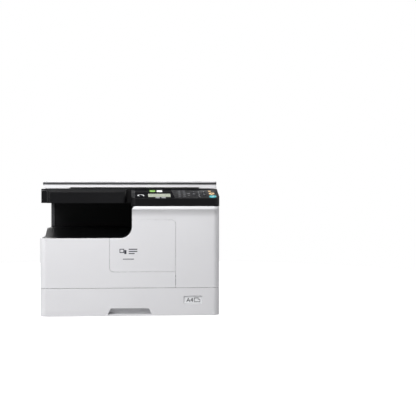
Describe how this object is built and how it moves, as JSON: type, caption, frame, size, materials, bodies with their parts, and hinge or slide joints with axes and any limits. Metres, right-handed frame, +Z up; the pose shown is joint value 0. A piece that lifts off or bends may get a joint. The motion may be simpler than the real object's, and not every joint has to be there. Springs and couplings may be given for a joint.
{
  "type": "photocopier",
  "caption": "Desktop photocopier with a flatbed scanner and hinged platen cover, sloping control panel, delivery bay, front door, side door with bypass tray, and a pull-out paper tray.",
  "frame": {"origin": "on the ground under the middle of the machine", "axes": "+X to the machine's right as its user sees it, +Y to the back, +Z up"},
  "size_m": [0.587, 0.568, 0.443],
  "materials": {
    "white_plastic": "fine textured cool white",
    "mat_white": "soft matt sheet on foam",
    "black_plastic": "satin black",
    "dark_plastic": "satin dark grey",
    "grey_plastic": "satin mid grey",
    "rubber": "matt black",
    "zinc_steel": "zinc plated sheet",
    "coated_sleeve": "dark non-stick coating",
    "drum_coating": "glossy green photoconductor",
    "circuit_board": "green solder mask",
    "platen_glass": "clear float glass",
    "teal_key": "gloss teal",
    "amber_key": "gloss amber"
  },
  "bodies": {
    "machine": {"base_frame": "zinc_steel", "bay_wall": "black_plastic", "carriage_rod": "zinc_steel", "controller_board": "circuit_board", "exposure_glass": "platen_glass", "foot_1": "rubber", "foot_2": "rubber", "foot_3": "rubber", "foot_4": "rubber", "front_frame_plate": "zinc_steel", "front_left_cover": "white_plastic", "front_right_cover": "white_plastic", "laser_unit": "grey_plastic", "left_cover": "white_plastic", "lid_hinge_left": "zinc_steel", "lid_hinge_right": "zinc_steel", "main_motor": "zinc_steel", "output_tray": "black_plastic", "panel_housing": "black_plastic", "power_inlet": "black_plastic", "rear_cover": "white_plastic", "rear_frame_plate": "zinc_steel", "right_cover": "white_plastic", "scanner_base": "black_plastic", "scanner_top_frame": "black_plastic"},
    "platen": {"platen_cover": "white_plastic", "platen_mat": "mat_white"},
    "front_door": {"toner_door": "white_plastic"},
    "bottle": {"toner_bottle": "grey_plastic"},
    "paper_tray": {"tray_front": "white_plastic", "tray_bin": "grey_plastic"},
    "lift_plate": {"tray_plate": "zinc_steel"},
    "front_fence": {"tray_fence_front": "dark_plastic"},
    "rear_fence": {"tray_fence_rear": "dark_plastic"},
    "end_fence": {"tray_end_fence": "dark_plastic"},
    "side_door": {"right_door": "white_plastic"},
    "transfer": {"transfer_roller": "rubber"},
    "bypass": {"bypass_tray": "white_plastic"},
    "bypass_guide_front": {"bypass_fence_front": "dark_plastic"},
    "bypass_guide_rear": {"bypass_fence_rear": "dark_plastic"},
    "carriage": {"scan_carriage": "black_plastic"},
    "rocker": {"power_switch": "black_plastic"},
    "drum_shaft": {"drum": "drum_coating"},
    "hot_shaft": {"hot_roller": "coated_sleeve"},
    "pressure_shaft": {"pressure_roller": "rubber"},
    "feed_shaft": {"feed_roller": "rubber"},
    "exit_shaft": {"exit_roller": "rubber"},
    "start_key_cap": {"start_key": "teal_key"},
    "stop_key_cap": {"stop_key": "amber_key"},
    "reset_key_cap": {"reset_key": "amber_key"},
    "key_0_cap": {"key_0": "dark_plastic"},
    "key_1_cap": {"key_1": "dark_plastic"},
    "key_2_cap": {"key_2": "dark_plastic"},
    "key_3_cap": {"key_3": "dark_plastic"},
    "key_4_cap": {"key_4": "dark_plastic"},
    "key_5_cap": {"key_5": "dark_plastic"},
    "key_6_cap": {"key_6": "dark_plastic"},
    "key_7_cap": {"key_7": "dark_plastic"},
    "key_8_cap": {"key_8": "dark_plastic"},
    "key_9_cap": {"key_9": "dark_plastic"}
  },
  "joints": [
    {"name": "platen_hinge", "type": "hinge", "parent": "machine", "child": "platen", "pos_m": [0, 0.27, 0.428], "axis": [-1, 0, 0], "range_deg": [0, 70]},
    {"name": "front_door_hinge", "type": "hinge", "parent": "machine", "child": "front_door", "pos_m": [0.0405, -0.276, 0.1455], "axis": [1, 0, 0], "range_deg": [0, 90]},
    {"name": "bottle_spin", "type": "hinge", "parent": "machine", "child": "bottle", "pos_m": [0.07, -0.065, 0.245], "axis": [0, 1, 0], "continuous": true},
    {"name": "tray_slide", "type": "slide", "parent": "machine", "child": "paper_tray", "axis": [0, -1, 0], "range_m": [0, 0.34]},
    {"name": "lift_plate_hinge", "type": "hinge", "parent": "paper_tray", "child": "lift_plate", "pos_m": [-0.2, -0.065, 0.01375], "axis": [0, -1, 0], "range_deg": [0, 7]},
    {"name": "front_fence_slide", "type": "slide", "parent": "paper_tray", "child": "front_fence", "axis": [0, 1, 0], "range_m": [0, 0.076]},
    {"name": "rear_fence_slide", "type": "slide", "parent": "paper_tray", "child": "rear_fence", "axis": [0, -1, 0], "range_m": [0, 0.076]},
    {"name": "end_fence_slide", "type": "slide", "parent": "paper_tray", "child": "end_fence", "axis": [1, 0, 0], "range_m": [0, 0.2]},
    {"name": "side_door_hinge", "type": "hinge", "parent": "machine", "child": "side_door", "pos_m": [0.284, 0.18, 0.227], "axis": [0, 0, 1], "range_deg": [0, 80]},
    {"name": "transfer_spin", "type": "hinge", "parent": "side_door", "child": "transfer", "pos_m": [0.2085, -0.065, 0.20525], "axis": [0, 1, 0], "continuous": true},
    {"name": "bypass_hinge", "type": "hinge", "parent": "side_door", "child": "bypass", "pos_m": [0.288, -0.065, 0.136], "axis": [0, 1, 0], "range_deg": [0, 70]},
    {"name": "bypass_front_slide", "type": "slide", "parent": "bypass", "child": "bypass_guide_front", "axis": [0, 1, 0], "range_m": [0, 0.1]},
    {"name": "bypass_rear_slide", "type": "slide", "parent": "bypass", "child": "bypass_guide_rear", "axis": [0, -1, 0], "range_m": [0, 0.1]},
    {"name": "carriage_slide", "type": "slide", "parent": "machine", "child": "carriage", "axis": [1, 0, 0], "range_m": [0, 0.44]},
    {"name": "rocker_tilt", "type": "hinge", "parent": "machine", "child": "rocker", "pos_m": [-0.2875, 0.18, 0.13], "axis": [0, 1, 0], "range_deg": [-8, 8]},
    {"name": "drum_spin", "type": "hinge", "parent": "machine", "child": "drum_shaft", "pos_m": [0.185, -0.065, 0.20525], "axis": [0, 1, 0], "continuous": true},
    {"name": "hot_spin", "type": "hinge", "parent": "machine", "child": "hot_shaft", "pos_m": [0.212, -0.065, 0.3], "axis": [0, 1, 0], "continuous": true},
    {"name": "pressure_spin", "type": "hinge", "parent": "machine", "child": "pressure_shaft", "pos_m": [0.2415, -0.065, 0.3], "axis": [0, 1, 0], "continuous": true},
    {"name": "feed_spin", "type": "hinge", "parent": "machine", "child": "feed_shaft", "pos_m": [0.215, -0.065, 0.104], "axis": [0, 1, 0], "continuous": true},
    {"name": "exit_spin", "type": "hinge", "parent": "machine", "child": "exit_shaft", "pos_m": [0.022, -0.065, 0.331], "axis": [0, 1, 0], "continuous": true},
    {"name": "start_key_press", "type": "slide", "parent": "machine", "child": "start_key_cap", "axis": [0, 0.2865, -0.9581], "range_m": [0, 0.001], "stiffness_N_per_m": 400, "springref_m": -0.0005},
    {"name": "stop_key_press", "type": "slide", "parent": "machine", "child": "stop_key_cap", "axis": [0, 0.2865, -0.9581], "range_m": [0, 0.001], "stiffness_N_per_m": 400, "springref_m": -0.0005},
    {"name": "reset_key_press", "type": "slide", "parent": "machine", "child": "reset_key_cap", "axis": [0, 0.2865, -0.9581], "range_m": [0, 0.001], "stiffness_N_per_m": 400, "springref_m": -0.0005},
    {"name": "key_0_press", "type": "slide", "parent": "machine", "child": "key_0_cap", "axis": [0, 0.2865, -0.9581], "range_m": [0, 0.001], "stiffness_N_per_m": 400, "springref_m": -0.0005},
    {"name": "key_1_press", "type": "slide", "parent": "machine", "child": "key_1_cap", "axis": [0, 0.2865, -0.9581], "range_m": [0, 0.001], "stiffness_N_per_m": 400, "springref_m": -0.0005},
    {"name": "key_2_press", "type": "slide", "parent": "machine", "child": "key_2_cap", "axis": [0, 0.2865, -0.9581], "range_m": [0, 0.001], "stiffness_N_per_m": 400, "springref_m": -0.0005},
    {"name": "key_3_press", "type": "slide", "parent": "machine", "child": "key_3_cap", "axis": [0, 0.2865, -0.9581], "range_m": [0, 0.001], "stiffness_N_per_m": 400, "springref_m": -0.0005},
    {"name": "key_4_press", "type": "slide", "parent": "machine", "child": "key_4_cap", "axis": [0, 0.2865, -0.9581], "range_m": [0, 0.001], "stiffness_N_per_m": 400, "springref_m": -0.0005},
    {"name": "key_5_press", "type": "slide", "parent": "machine", "child": "key_5_cap", "axis": [0, 0.2865, -0.9581], "range_m": [0, 0.001], "stiffness_N_per_m": 400, "springref_m": -0.0005},
    {"name": "key_6_press", "type": "slide", "parent": "machine", "child": "key_6_cap", "axis": [0, 0.2865, -0.9581], "range_m": [0, 0.001], "stiffness_N_per_m": 400, "springref_m": -0.0005},
    {"name": "key_7_press", "type": "slide", "parent": "machine", "child": "key_7_cap", "axis": [0, 0.2865, -0.9581], "range_m": [0, 0.001], "stiffness_N_per_m": 400, "springref_m": -0.0005},
    {"name": "key_8_press", "type": "slide", "parent": "machine", "child": "key_8_cap", "axis": [0, 0.2865, -0.9581], "range_m": [0, 0.001], "stiffness_N_per_m": 400, "springref_m": -0.0005},
    {"name": "key_9_press", "type": "slide", "parent": "machine", "child": "key_9_cap", "axis": [0, 0.2865, -0.9581], "range_m": [0, 0.001], "stiffness_N_per_m": 400, "springref_m": -0.0005}
  ],
  "couplings": [
    {"joint": "rear_fence_slide", "follows": "front_fence_slide", "ratio": 1},
    {"joint": "bypass_rear_slide", "follows": "bypass_front_slide", "ratio": 1},
    {"joint": "transfer_spin", "follows": "drum_spin", "ratio": -1.875},
    {"joint": "hot_spin", "follows": "drum_spin", "ratio": 1},
    {"joint": "pressure_spin", "follows": "drum_spin", "ratio": -1.0714},
    {"joint": "feed_spin", "follows": "drum_spin", "ratio": 0.75},
    {"joint": "exit_spin", "follows": "drum_spin", "ratio": 1.875}
  ]
}
